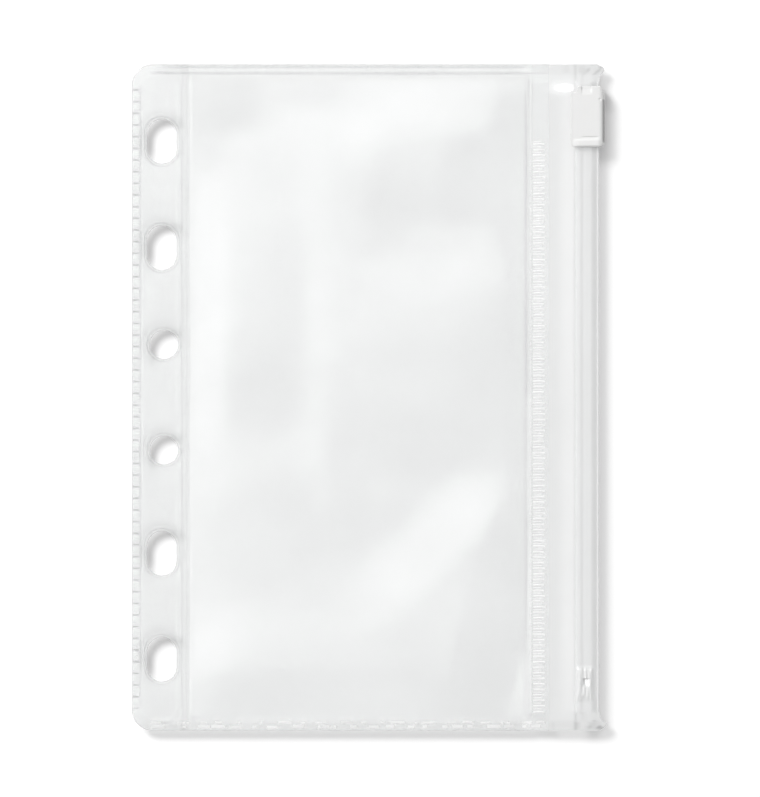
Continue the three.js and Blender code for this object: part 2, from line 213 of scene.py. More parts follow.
def piece(name, points, faces, material, body, shade, tone_and_painted_shade=1.0, sharp=None):
    """A mesh object from points in (u, v, w) millimetres and arrays of faces with like corner
    counts. Points that fall together are joined. It rides on body. Shade and tone, one number or
    one for each point, are the share of a lamp's light that passes the skin there and the factor
    of its colour, which carries painted shade."""
    keys = np.round(points * 5000).astype(np.int64)
    _, first, joined = np.unique(keys, axis=0, return_index=True, return_inverse=True)
    joined = joined.ravel()
    placed = (points[first] + (EDGE, 0, 0)) * MM
    loops, starts, offset = [], [], 0
    for block in faces:
        block = joined[block]
        apart = (block != np.roll(block, 1, axis=1)).all(axis=1)
        loops.append(block[apart].ravel())
        starts.append(offset + np.arange(apart.sum()) * block.shape[1])
        offset += loops[-1].size
        for tri in collapsed(block[~apart]):
            loops.append(tri)
            starts.append(np.array([offset]))
            offset += 3
    loops = np.concatenate(loops)
    starts = np.concatenate(starts)
    mesh = bpy.data.meshes.new(name)
    mesh.vertices.add(len(placed))
    mesh.vertices.foreach_set("co", placed.ravel())
    mesh.loops.add(loops.size)
    mesh.loops.foreach_set("vertex_index", loops)
    mesh.polygons.add(starts.size)
    mesh.polygons.foreach_set("loop_start", starts)
    mesh.update(calc_edges=True)
    mesh.validate()
    shell = bmesh.new()
    shell.from_mesh(mesh)
    bmesh.ops.recalc_face_normals(shell, faces=shell.faces)
    shell.to_mesh(mesh)
    shell.free()
    mesh.shade_smooth()
    # the tone attribute is a factor of the colour; on the sheets, strips and slider it carries painted
    # shade
    for kind, values in (("shade", shade), ("tone_and_painted_shade", tone_and_painted_shade)):
        layer = mesh.attributes.new(kind, "FLOAT", "POINT")
        layer.data.foreach_set("value", np.broadcast_to(values, len(points))[first].astype(np.float32))
    if sharp:
        mesh.set_sharp_from_angle(angle=math.radians(sharp))
    made = in_scene(name, mesh)
    mesh.materials.append(material)
    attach(made, body)
    return made


def collapsed(block):
    """The triangles left where two corners of a face were joined."""
    for face in block:
        left = face[face != np.roll(face, 1)]
        if left.size == 3 and np.unique(left).size == 3:
            yield left


def grid_faces(rows, columns, wrap=False):
    """Quads of a grid of points stored row by row, that turn from a column to the next row."""
    i = np.arange(rows - 1)[:, None] * columns
    j = np.arange(columns if wrap else columns - 1)[None, :]
    k = (j + 1) % columns
    return np.stack([i + j, i + columns + j, i + columns + k, i + k], axis=-1).reshape(-1, 4)


def swept(sections):
    """Points and faces of a closed profile carried through stations: sections is stations by
    profile by 3. Each flat end is one face."""
    stations, count, _ = sections.shape
    ends = np.stack([np.arange(count), np.arange(count)[::-1] + (stations - 1) * count])
    return sections.reshape(-1, 3), [grid_faces(stations, count, wrap=True), ends]


def lines(start, *stretches):
    """Grid lines from a start on, through stretches of (end, steps)."""
    made = [[start]]
    for end, steps in stretches:
        made.append(np.linspace(made[-1][-1], end, steps + 1)[1:])
    return np.round(np.concatenate(made), 5)


def holes():
    """Each hole's centre, radius and half the length of its straight sides."""
    for k, stray in enumerate(STRAY):
        v = RING_PITCH * (2.5 - k) + PUNCH_SHIFT + stray
        if k in (2, 3):
            yield HOLE_LINE + ROUND_SHIFT, v, ROUND_RADIUS, 0.0
        else:
            yield HOLE_LINE, v, SLOT_RADIUS, SLOT_STRAIGHT


def frame_distance(u, v):
    """Distance from the rounded rectangle that frames the punched strip, minus inside."""
    centre = (FRAME_LINE + FRAME_END) / 2
    across = np.abs(u - centre) - (FRAME_END - FRAME_LINE) / 2 + FRAME_RADIUS
    along = np.abs(v) - (HALF - FRAME_LINE) + FRAME_RADIUS
    outside = np.hypot(np.maximum(across, 0), np.maximum(along, 0))
    return outside + np.minimum(np.maximum(across, along), 0) - FRAME_RADIUS


def edge_distance(u, v):
    """Distance inwards from the sheet's cut outline, with its two rounded corners."""
    plain = np.minimum(np.minimum(u, FILM_WIDTH - u), HALF - np.abs(v))
    to_corner = CORNER - np.hypot(CORNER - u, np.abs(v) - HALF + CORNER)
    in_corner = (u < CORNER) & (np.abs(v) > HALF - CORNER)
    return np.where(in_corner, np.minimum(to_corner, plain), plain)


def hole_distance(u, v):
    """Distance outwards from the edge of the nearest hole."""
    return np.min([np.hypot(u - hole_u, np.maximum(np.abs(v - hole_v) - straight, 0)) - radius
                   for hole_u, hole_v, radius, straight in holes()], axis=0)


def lit_side(u, v):
    """How far a place lies to the light's side of the nearest hole's middle, from -1 to 1."""
    middles = np.array([hole[:2] for hole in holes()])
    away_u = u[None] - middles[:, 0].reshape(-1, *[1] * u.ndim)
    away_v = v[None] - middles[:, 1].reshape(-1, *[1] * v.ndim)
    reach = np.hypot(away_u, away_v)
    towards = (away_u * LIGHT[0] + away_v * LIGHT[1]) / np.maximum(reach, 0.1)
    return np.take_along_axis(towards, reach.argmin(axis=0)[None], axis=0)[0]


def crush(v):
    """How flat the zip's ends are pressed: 1 along the zip, down to CRUSHED at the two seams."""
    start = HALF - SEAM - CRUSH_LENGTH
    return 1 - (1 - CRUSHED) * np.clip((np.abs(v) - start) / CRUSH_LENGTH, 0, 1)


def dent_heights():
    """Heights over the window, worked out from the tilts: each wave of the tilt is divided by its
    wave number along the light, so that the surface falls towards the light by that tilt. A dent
    is e to the minus r to its hardness, with r the fourth root of the sum of x^4 and y^4."""
    u = np.arange(STRIP, WINDOW_END, DENT_STEP)[:, None]
    v = np.arange(SEAM - HALF, HALF - SEAM, DENT_STEP)[None, :]
    tilt = np.zeros((u.size, v.size))
    for middle_u, middle_v, half_u, half_v, turn, strength, hardness in DENTS:
        c, s = math.cos(math.radians(turn)), math.sin(math.radians(turn))
        across = ((u - middle_u) * c + (v - middle_v) * s) / half_u
        along = ((v - middle_v) * c - (u - middle_u) * s) / half_v
        tilt += strength * np.exp(-(across ** 4 + along ** 4) ** (hardness / 4))
    wave_u = 2 * math.pi * np.fft.fftfreq(u.size, DENT_STEP)[:, None]
    wave_v = 2 * math.pi * np.fft.fftfreq(v.size, DENT_STEP)[None, :]
    to_light = wave_u * LIGHT[0] + wave_v * LIGHT[1]
    cross = wave_u * LIGHT[1] - wave_v * LIGHT[0]
    steady = to_light ** 2 + CROSSWISE * cross ** 2 + LONG_WAVE ** 2
    heights = np.fft.ifft2(1j * to_light * np.fft.fft2(tilt * TILT) / steady).real
    return heights - heights.mean()


def sampled(heights, u, v):
    """Heights between the points of the dents' grid, from the four around each place."""
    x = np.clip((u - STRIP) / DENT_STEP, 0, heights.shape[0] - 1.001)
    y = np.clip((v + HALF - SEAM) / DENT_STEP, 0, heights.shape[1] - 1.001)
    i, j = x.astype(int), y.astype(int)
    p, q = x - i, y - j
    low = heights[i, j] * (1 - q) + heights[i, j + 1] * q
    high = heights[i + 1, j] * (1 - q) + heights[i + 1, j + 1] * q
    return low * (1 - p) + high * p


def window_share(u, v):
    """0 at the window's welds, rising as a sine to 1 well inside."""
    across = np.clip(np.minimum((u - STRIP) / SWELL_U, (WINDOW_END - u) / SWELL_U), 0, 1)
    along = np.clip((HALF - SEAM - np.abs(v)) / SWELL_V, 0, 1)
    return np.sin(across * math.pi / 2) * np.sin(along * math.pi / 2)


def window_depth(u, v):
    """Distance inwards from the nearest of the window's welds."""
    return np.minimum(np.minimum(u - STRIP, WINDOW_END - u), HALF - SEAM - np.abs(v))


def quick_share(u, v):
    """0 at the window's welds, 1 from 3 mm inside."""
    return smooth(window_depth(u, v), 0, 3.0)


def dented(u, v, side):
    """Height of the dents: the listed ones in front, and a slow ripple at the back."""
    if side > 0:
        return sampled(FRONT_DENTS, u, v)
    return 0.3 * ripple(u, v, (31.0, 19.0), 5)


def half_gap(u, v, side):
    """Half the gap between the sheets: the lift over the zip's flange, the swell and the dents."""
    lift = FLANGE_OUT * crush(v) * np.clip((u - WINDOW_END) / LIFT_LENGTH + 1, 0, 1)
    swell = (BULGE - DENT_LIMIT) * window_share(u, v)
    wave = DENT_LIMIT * np.tanh(dented(u, v, side) / DENT_LIMIT)
    return lift + np.maximum(swell + quick_share(u, v) * wave, 0)


def glancing_height(u, v, side):
    """The height whose slopes the light shows over the window: the dents, and a share of the swell."""
    return dented(u, v, side) + SWELL_SHOWN * BULGE * window_share(u, v)


def points_and_normals(mesh):
    """A mesh's points in millimetres and the normals of its points."""
    place = np.empty(len(mesh.vertices) * 3)
    own = np.empty(len(mesh.vertices) * 3)
    mesh.vertices.foreach_get("co", place)
    mesh.vertices.foreach_get("normal", own)
    return place.reshape(-1, 3) / MM, own.reshape(-1, 3)


def end_levelling(u, v, facing):
    """The share by which slopes are levelled where the flange and the strips are pressed flat."""
    pressed = smooth(np.abs(v), HALF - SEAM - CRUSH_LENGTH - 0.5, HALF - SEAM - CRUSH_LENGTH + 0.3)
    return 0.9 * pressed * smooth(u, WINDOW_END - 0.3, WINDOW_END + 0.3) * (np.abs(facing) > 0.3)


def show_dents(made, side):
    """Gives the window's points the normals of the glancing height: minus its slopes to u and v
    from central differences, blended into the shell's own normals at the welds."""
    mesh = made.data
    place, own = points_and_normals(mesh)
    u, v = place[:, 0] - EDGE, place[:, 1]
    slope_u = glancing_height(u + DENT_STEP, v, side) - glancing_height(u - DENT_STEP, v, side)
    slope_v = glancing_height(u, v + DENT_STEP, side) - glancing_height(u, v - DENT_STEP, side)
    slopes = np.stack([slope_u, slope_v], axis=-1) / (2 * DENT_STEP)
    shown = np.column_stack([-side * slopes, np.ones(len(u))]) * np.sign(own[:, 2:])
    share = smooth(window_depth(u, v), 0.1, 1.1)[:, None]
    own[:, :2] *= 1 - end_levelling(u, v, own[:, 2])[:, None]
    normals = shown * share + own * (1 - share)
    normals /= np.linalg.norm(normals, axis=1, keepdims=True)
    mesh.normals_split_custom_set_from_vertices(normals.tolist())


def seam_dashes(u, v):
    """Uneven marks along both end seams, from -1 to 1, stronger at the lower one."""
    into_seam = np.abs(v) - (HALF - SEAM)
    dashes = ripple(u, np.sign(v) * 40, (2.19, 3.7, 5.9), 31)
    strength = np.where(v < 0, 0.9, 0.35)
    return strength * dashes * smooth(into_seam, 0.2, 0.5) * smooth(SEAM - into_seam, 0.1, 0.4)


def rungs(u, v):
    """The knurled band along the binding edge, as a share, and the place from a rung's middle."""
    in_band = smooth(u, 0.08, 0.3) * smooth(1.3 - u, 0, 0.2) * smooth(HALF - CORNER - np.abs(v), 0, 0.5)
    return in_band, np.mod(v - RUNG_SHIFT + 0.5 * RUNG_PITCH, RUNG_PITCH) - 0.5 * RUNG_PITCH


def pressed_relief(u, v):
    """What the welding and punching tools press into the upper sheet, in millimetres."""
    from_edge = edge_distance(u, v)
    from_frame = frame_distance(u, v)
    wander = 0.06 * np.sin(v / 6.1) + 0.04 * np.sin(v / 2.3)
    varied = 0.75 + 0.25 * ripple(v, u * 0, (17.0, 7.0), 11)
    depth = -0.05 * groove(from_edge, 0.1)
    corner = smooth(np.abs(v), HALF - 4.8, HALF - 3.4) * smooth(4.0 - u, 0, 1)
    frame_depth = 0.13 * varied * (1 - 0.6 * corner)
    depth -= frame_depth * groove(from_frame, 0.17) * smooth(FRAME_END + 0.7 - u, 0, 0.3)
    depth += 0.05 * groove(from_frame + 0.5, 0.2) * smooth(STRIP - u, 0, 1)
    for line, deep, wide in ((9.55, 0.05, 0.16), (10.3, 0.06, 0.2)):
        depth -= deep * varied * groove(u - line - wander, wide) * smooth(HALF - np.abs(v), 0.8, 2)
    # the knurled edge weld: thin cross grooves with a shallow dish between them
    in_band, phase = rungs(u, v)
    dish = np.cos(phase * 2 * math.pi / RUNG_PITCH) * (1 + ripple(v, u * 0, (4.3, 9.1), 3))
    depth += in_band * (0.05 * dish - 0.1 * groove(phase, RUNG_WIDTH))
    # the pressed seams along both ends
    into_seam = np.abs(v) - (HALF - SEAM)
    right_of_strip = smooth(u, STRIP - 1.5, STRIP)
    seam_wander = 0.1 * ripple(u, v * 0, (23.0, 9.0), 21)
    seam_lines = 0.06 * groove(into_seam - 0.15 - seam_wander, 0.13)
    seam_lines += 0.035 * groove(into_seam - 1.15 + seam_wander, 0.18)
    depth -= seam_lines * right_of_strip
    # a groove pressed round every hole
    from_hole = hole_distance(u, v)
    return depth - 0.036 * groove(from_hole - 0.42, 0.13) + 0.028 * groove(from_hole - 0.75, 0.18)


def sheet_shade(u, v, side):
    """How much light a sheet lets on to the table: the lower one holds back more of it along the
    lower seam and on the light's side of the holes, where the pressed rims bend it away."""
    if side > 0:
        return np.full(u.shape, FILM_SHADE)
    from_hole = hole_distance(u, v)
    welded = (0.65 + 0.35 * smooth(HALF + v, 0.1, 0.9)) * (1 - smooth(HALF + v, 1.2, 2.0))
    ring = smooth(from_hole, 0, 1.2) * (1 - smooth(from_hole, 1.5, 2.3))
    punched = ring * smooth(lit_side(u, v), 0.1, 0.8)
    return FILM_SHADE + (WELD_SHADE - FILM_SHADE) * welded + (PUNCH_SHADE - FILM_SHADE) * punched


def sheet_painted_shade(u, v, relief):
    """Painted shade on a sheet, as a factor of its colour: darker at its edges and welds, and where it is
    pressed in.
    """
    from_end = HALF - np.abs(v)
    from_edge = np.where(u > STRIP, from_end, edge_distance(u, v))
    from_hole = hole_distance(u, v)
    over_flange = smooth(u, WINDOW_END - 0.5, WINDOW_END + 0.3)
    in_seam = smooth(np.abs(v), HALF - SEAM - 0.2, HALF - SEAM + 0.2) * smooth(u, 3.5, 7.0)
    in_seam *= (1 - over_flange) * np.where(v > 0, 0.8, 0.5)
    inside = np.minimum(from_end - SEAM, WINDOW_END - u)
    in_band, phase = rungs(u, v)
    # painted shade: the colour is darkened along the pressed lines, rungs, seams, hole rims, cut edge and
    # welds, where shade falls
    tone_and_painted_shade = 1 - 0.16 * smooth(-relief, 0.04, 0.16) - 0.04 * in_seam
    tone_and_painted_shade -= 0.2 * in_band * groove(phase, RUNG_WIDTH)
    tone_and_painted_shade -= 0.02 * smooth(STRIP - u, 0, 0.5) + 0.03 * smooth(u, 8.9, 9.2) * smooth(10.6 - u, 0, 0.2)
    tone_and_painted_shade -= 0.05 * groove(inside - 0.5, 0.5) * smooth(u, STRIP, STRIP + 1) * smooth(v, 0, 1)
    end_lines = groove(from_end - 0.45, 0.22) + 0.8 * groove(from_end - 1.6, 0.2)
    tone_and_painted_shade -= 0.09 * end_lines * smooth(u, 3.0, 8.0) * (1 - 0.6 * over_flange) * smooth(v, 0, 1)
    tone_and_painted_shade -= 0.16 * groove(from_hole, 0.1) + 0.09 * groove(from_hole - 0.52, 0.12)
    tone_and_painted_shade -= 0.12 * groove(from_edge, 0.12)
    tone_and_painted_shade -= 0.025 * groove(u - STRIP - 0.6, 0.5) * (inside > 0)
    weld_line = 0.05 * groove(u - WINDOW_END - 0.25, 0.2) + 0.05 * groove(u - WINDOW_END + 0.6, 0.6)
    tone_and_painted_shade -= weld_line * smooth(from_end - SEAM, 0, 1.0)
    return np.clip(tone_and_painted_shade, 0.6, 1)


def sheet_lines():
    """Grid lines of a sheet, close together where something narrow is pressed in."""
    us = lines(
        0, (0.06, 1), (0.34, 2), (1.0, 2), (1.6, 6), (2.4, 5), (8.6, 14), (9.4, 4), (10.7, 13),
        (13.0, 4), (71.0, 38), (WINDOW_END, 5), (WINDOW_END + 0.5, 4), (FILM_WIDTH - 0.3, 6),
        (FILM_WIDTH - 0.05, 2), (FILM_WIDTH, 1),
    )
    numbers = np.arange(math.floor(-HALF / RUNG_PITCH) - 1, math.ceil(HALF / RUNG_PITCH) + 1)
    steps = np.array([-0.26, -0.09, 0.09, 0.26, RUNG_PITCH / 2])
    along = (numbers[:, None] * RUNG_PITCH + RUNG_SHIFT + steps[None, :]).ravel()
    inner = HALF - CORNER - 0.4
    along = along[np.abs(along) < inner - 0.1]
    ends = lines(inner, (HALF - SEAM - 0.2, 9), (HALF - 1.2, 9), (HALF - 0.06, 6), (HALF, 1))
    edges = [hole_v + sign * BLOCK_V for _, hole_v, _, _ in holes() for sign in (-1, 1)]
    along = along[np.min(np.abs(along[:, None] - np.array(edges)[None, :]), axis=1) > 0.06]
    vs = np.unique(np.round(np.concatenate([-ends, along, edges, ends]), 5))
    return us, vs


def rounded_corners(u, v):
    """Grid places moved so that the sheet's two square corners at the binding edge become round:
    in a corner's square, a and b from 0 to 1 become a root(1 - b^2/2) and b root(1 - a^2/2)."""
    a = np.clip((CORNER - u) / CORNER, 0, 1)
    b = np.clip((np.abs(v) - HALF + CORNER) / CORNER, 0, 1)
    round_u = np.where(b > 0, CORNER - CORNER * a * np.sqrt(1 - b * b / 2), u)
    round_v = np.sign(v) * (HALF - CORNER + CORNER * b * np.sqrt(1 - a * a / 2))
    inside = (a > 0) & (b > 0)
    return np.where(inside, round_u, u), np.where(inside, round_v, v)


def hole_patch(us, vs, hole):
    """Rings of places from a hole's edge out to the border of the block round it: every place on
    that border looks to the nearest one on the hole's edge, and the rings lie between the two.
    Gives rings by places by 2."""
    hole_u, hole_v, radius, straight = hole
    block_us = us[(us > HOLE_LINE - BLOCK_U - 1e-4) & (us < HOLE_LINE + BLOCK_U + 1e-4)]
    block_vs = vs[(vs > hole_v - BLOCK_V - 1e-4) & (vs < hole_v + BLOCK_V + 1e-4)]
    left, right, low, high = block_us[0], block_us[-1], block_vs[0], block_vs[-1]
    border = np.concatenate([
        np.stack([block_us[:-1], np.full(block_us.size - 1, low)], axis=-1),
        np.stack([np.full(block_vs.size - 1, right), block_vs[:-1]], axis=-1),
        np.stack([block_us[:0:-1], np.full(block_us.size - 1, high)], axis=-1),
        np.stack([np.full(block_vs.size - 1, left), block_vs[:0:-1]], axis=-1),
    ])
    spine = np.stack([np.full(len(border), hole_u),
                      hole_v + np.clip(border[:, 1] - hole_v, -straight, straight)], axis=-1)
    away = border - spine
    reach = np.linalg.norm(away, axis=1, keepdims=True)
    way = away / reach
    near = HOLE_RINGS[:, None, None]
    widest = HOLE_RINGS[-1] + 0.03
    close = spine + way * (radius + np.minimum(near, (reach - radius)[None] * near / widest))
    share = np.linspace(0, 1, 8)[1:, None, None] ** 1.5
    rest = close[-1] + (border - close[-1])[None] * share
    return np.concatenate([close, rest])


def soft_waves(u, v, side):
    """Slow waves of a sheet's welded borders, in millimetres."""
    return 0.03 * ripple(u, v, (14.0, 8.0), 7 if side > 0 else 8) * (1 - quick_share(u, v))


def sheet(name, side, material):
    """One film sheet as a closed shell: the outer and the inner skin over the same grid, with
    rings of places round the holes, and walls along the outline and through the holes."""
    us, vs = sheet_lines()
    u, v = np.meshgrid(us, vs, indexing="ij")
    grid_u, grid_v = rounded_corners(u, v)
    flat = [np.stack([grid_u.ravel(), grid_v.ravel()], axis=-1)]
    rows, columns = len(us), len(vs)
    quads = grid_faces(rows, columns)
    middle = np.stack([u.ravel(), v.ravel()], axis=-1)[quads].mean(axis=1)
    keep = np.ones(len(quads), bool)
    for _, hole_v, _, _ in holes():
        beside = np.abs(middle[:, 0] - HOLE_LINE) > BLOCK_U
        keep &= beside | (np.abs(middle[:, 1] - hole_v) > BLOCK_V)
    skins = [quads[keep]]
    order = np.arange(rows * columns).reshape(rows, columns)
    border = np.concatenate([order[:-1, 0], order[-1, :-1], order[:0:-1, -1], order[0, :0:-1]])
    walls = [np.stack([border, np.roll(border, -1)], axis=-1)]
    offset = rows * columns
    for hole in holes():
        patch = hole_patch(us, vs, hole)
        rings, count, _ = patch.shape
        flat.append(patch.reshape(-1, 2))
        skins.append(grid_faces(rings, count, wrap=True) + offset)
        ring = offset + np.arange(count)
        walls.append(np.stack([np.roll(ring, -1), ring], axis=-1))
        offset += rings * count
    flat = np.concatenate(flat)
    skins = np.concatenate(skins)
    walls = np.concatenate(walls)
    u, v = flat[:, 0], flat[:, 1]
    gap = half_gap(u, v, side)
    relief = pressed_relief(u, v) * (1.0 if side > 0 else 0.35)
    outer = WELD + side * (gap + FILM + relief + soft_waves(u, v, side))
    inner = WELD + side * (gap + AIR)
    top, bottom = (outer, inner) if side > 0 else (inner, outer)
    points = np.concatenate([np.column_stack([flat, top]), np.column_stack([flat, bottom])])
    count = len(flat)
    wall_faces = np.stack([walls[:, 0], walls[:, 1], walls[:, 1] + count, walls[:, 0] + count], axis=-1)
    faces = [np.concatenate([skins, skins[:, ::-1] + count, wall_faces[:, ::-1]])]
    shade = sheet_shade(u, v, side)
    # painted shade in the sheet's colour
    tone_and_painted_shade = sheet_painted_shade(u, v, relief)
    made = piece(name, points, faces, material, "pocket",
                 np.tile(shade, 2), np.tile(tone_and_painted_shade, 2))
    show_dents(made, side)
    return made


def blister(u0, u1, v0, v1, sunk, height):
    """A small raised bar on the front sheet: height times (1 - x^4)(1 - y^2)^1.5 over its oblong,
    with its underside just sunk in the sheet."""
    x = np.linspace(-1, 1, BAR_ROWS)[:, None]
    y = np.linspace(-1, 1, BAR_COLUMNS)[None, :]
    u = np.broadcast_to((u0 + u1) / 2 + x * (u1 - u0) / 2, (x.size, y.size))
    v = np.broadcast_to((v0 + v1) / 2 + y * (v1 - v0) / 2, u.shape)
    base = WELD + half_gap(u, v, 1) + FILM + soft_waves(u, v, 1) - sunk
    rise = height * (1 - x ** 4) * (1 - y ** 2) ** 1.5
    crown = np.stack([u, v, base + rise], axis=-1).reshape(-1, 3)
    floor = np.stack([u, v, base], axis=-1).reshape(-1, 3)
    return crown, floor


def bars(name, places, material):
    """Low raised bars as one piece, each from (u0, u1, v0, v1, how deep it is sunk, height) and
    its tone. They hold back no light of their own: the sheet under them does."""
    skin = grid_faces(BAR_ROWS, BAR_COLUMNS)
    points, faces = [], []
    for k, (*place, _) in enumerate(places):
        crown, floor = blister(*place)
        offset = 2 * k * len(crown)
        points += [crown, floor]
        faces += [skin[:, ::-1] + offset, skin + offset + len(crown)]
    tones = np.repeat([place[-1] for place in places], 2 * BAR_ROWS * BAR_COLUMNS)
    return piece(name, np.concatenate(points), [np.concatenate(faces)], material,
                 "pocket", 1.0, tones, sharp=50)


def zip_ribs(material):
    """The ribs of the zip weld: thin bars at an even pitch, with a fainter one between each two."""
    draw = np.random.default_rng(17)
    places = []
    for k, v in enumerate(np.arange(SEAM + 1.6 - HALF, RIBS_END, RIB_PITCH / 2)):
        faint = k % 2 == 1
        width = (0.2 if faint else 0.32) * draw.uniform(0.85, 1.15)
        height = (0.008 if faint else 0.037) * draw.uniform(0.7, 1.3)
        begin = WINDOW_END + 0.32 + draw.uniform(-0.04, 0.04)
        finish = begin + (1.7 if faint else 2.2) + draw.uniform(-0.15, 0.1)
        middle = v + draw.uniform(-0.02, 0.02)
        places.append((begin, finish, middle - width / 2, middle + width / 2, 0.004, height,
                       0.97 if faint else 1.0))
    return bars("zip_weld_ribs", places, material)


def seam_bars(material):
    """Short bars of uneven length that the heated rail leaves along the lower seam, in two rows."""
    draw = np.random.default_rng(23)
    places = []
    for row, width in ((1.45, 0.45), (0.7, 0.6)):
        u = STRIP - 7.0
        while u < FILM_WIDTH - 0.8:
            length = draw.uniform(0.4, 2.6)
            middle = row - HALF + draw.uniform(-0.12, 0.12)
            height = draw.uniform(0.012, 0.022) * (0.5 + 0.5 * u / FILM_WIDTH)
            finish = min(u + length, FILM_WIDTH - 0.2)
            places.append((u, finish, middle - width / 2, middle + width / 2, 0.01, height,
                           draw.uniform(0.88, 0.95)))
            u += length + draw.uniform(0.1, 2.2) * (2.0 - u / FILM_WIDTH)
    return bars("seam_weld_bars", places, material)


def rounded_outline(corners, steps=4):
    """A closed outline from corners of (x, y, radius): an arc of that radius, in steps, tangent to
    both sides at every corner, or the bare corner where the radius is 0."""
    made = []
    for k, (x, y, radius) in enumerate(corners):
        here = np.array([x, y])
        back = np.array(corners[k - 1][:2]) - here
        ahead = np.array(corners[(k + 1) % len(corners)][:2]) - here
        back_length, ahead_length = np.linalg.norm(back), np.linalg.norm(ahead)
        back, ahead = back / back_length, ahead / ahead_length
        if radius == 0:
            made.append(here[None])
            continue
        half = math.acos(float(np.clip(back @ ahead, -1, 1))) / 2
        run = min(radius / math.tan(half), 0.49 * back_length, 0.49 * ahead_length)
        t = np.linspace(0, 1, steps + 1)[:, None]
        made.append(here + back * run * (1 - t) ** 2 + ahead * run * t ** 2)
    return np.concatenate(made)


def strip_profile(side):
    """A zip strip's section as (u, height over the weld plane): the flange under the film, the
    thin web, the rail with its sloping shoulder and bead at the rim, and the interlock inside."""
    hook = RAIL_START + 1.3
    outer = [
        (RIM, 0.45, 0.03), (RIM, 0.78, 0.08), (RIM - 0.22, 0.86, 0.1), (RIM - 0.45, 0.78, 0.12),
        (RIM - 1.5, 1.17, 0.9), (RIM - 2.4, RAIL, 0.5), (RAIL_START + 0.25, RAIL, 0.3),
        (RAIL_START, 0.95, 0.15), (RAIL_START - 0.05, 0.62, 0.2), (RAIL_START - 0.5, 0.50, 0.3),
        (FILM_WIDTH + 2.2, 0.37, 20.0), (FILM_WIDTH, FLANGE_OUT - AIR, 0.6),
        (FLANGE_START, FLANGE_OUT - AIR, 0.05), (FLANGE_START, FLANGE_IN, 0.05),
        (FILM_WIDTH, FLANGE_IN, 0),
    ]
    if side > 0:
        inner = [
            (hook - 0.25, FLANGE_IN, 0), (hook - 0.25, -0.47, 0), (hook - 0.55, -0.47, 0.04),
            (hook - 0.2, -0.75, 0.08), (hook + 0.2, -0.75, 0.08), (hook + 0.55, -0.47, 0.04),
            (hook + 0.25, -0.47, 0), (hook + 0.25, FLANGE_IN, 0),
        ]
    else:
        inner = [
            (hook - 0.35, FLANGE_IN, 0.04), (hook - 0.35, 0.37, 0.04), (hook - 0.75, 0.37, 0),
            (hook - 0.75, 0.85, 0.05), (hook + 0.75, 0.85, 0.05), (hook + 0.75, 0.37, 0),
            (hook + 0.35, 0.37, 0.04), (hook + 0.35, FLANGE_IN, 0.04),
        ]
    rim = [(RIM - 1.5, FLANGE_IN, 0), (RIM - 1.3, 0.45, 0.1)]
    return rounded_outline(outer + inner + rim)


def dense(outline, longest):
    """The same closed outline with points added where two lie further apart than longest."""
    made = []
    for start, end in zip(outline, np.roll(outline, -1, axis=0)):
        steps = max(1, math.ceil(np.linalg.norm(end - start) / longest))
        made.append(start + (end - start) * np.arange(steps)[:, None] / steps)
    return np.concatenate(made)


def ear_reach(v):
    """How far the pressed ends of the strips spread outwards at v."""
    top = TOP_REACH * np.interp(HALF - v, [0, 0.6, 1.2, SEAM, 3.3], [-0.4, 0.8, 1.0, 0.3, 0])
    bottom = BOTTOM_REACH * np.interp(v + HALF, [0, 0.8, 1.4, SEAM, 3.3], [0.0, 0.8, 1.0, 0.3, 0])
    return top + bottom


def stake_relief(u, v):
    """The staked end stop on the back of the rail: a low swelling with long crush marks, and a
    square pit in it."""
    along = (STAKE_TOP - v) / STAKE_LENGTH
    within = smooth(along, 0.0, 0.12) * smooth(1 - along, 0.0, 0.25)
    across = smooth(u, RAIL_START + 0.1, RAIL_START + 0.5) * smooth(RAIL_START + 3.4 - u, 0, 0.5)
    marks = np.sin(u * 9.0 + 0.6 * np.sin(v * 1.1)) * np.sin(v * 0.9 + u * 1.7)
    swelling = within * across * (0.26 + 0.09 * marks)
    pit_u = np.abs(u - RAIL_START - 2.15)
    pit_v = np.abs(v - STAKE_TOP + 3.0)
    pit = smooth(0.62 - pit_u, 0, 0.14) * smooth(0.75 - pit_v, 0, 0.14)
    slant = 0.3 + 0.3 * (v - STAKE_TOP + 3.0 - (u - RAIL_START - 2.15))
    return swelling - slant * pit


def strip_tone_and_painted_shade(points):
    """The tone of a zip strip with painted shade: a little grey over the web, painted shade on the
    rail's shoulder and along its inner edge, more grey in the two pressed seams, with darker crush
    marks in the lower one and in both ears."""
    u, v = points[:, 0], points[:, 1]
    on_strip = smooth(u, FILM_WIDTH - 0.3, FILM_WIDTH + 0.1)
    web = on_strip * smooth(RAIL_START - u, -0.3, 0.3)
    edge = groove(u - RAIL_START - 0.05, 0.3)
    shoulder = smooth(u, RAIL_START + 2.6, RIM - 0.4)
    seam = on_strip * smooth(np.abs(v), HALF - SEAM - 0.15, HALF - SEAM + 0.15)
    crushed = np.maximum(ripple(u, v, (1.3, 2.1), 47), 0) * smooth(u, RAIL_START + 0.5, RIM)
    marks = 0.3 * np.maximum(seam_dashes(u, v), 0) + 0.5 * crushed
    # painted shade on the rail's shoulder, which slopes away from the light, and along the rail's inner
    # edge
    return 1 - 0.03 * web - 0.12 * edge - 0.05 * shoulder - (0.03 + marks) * seam


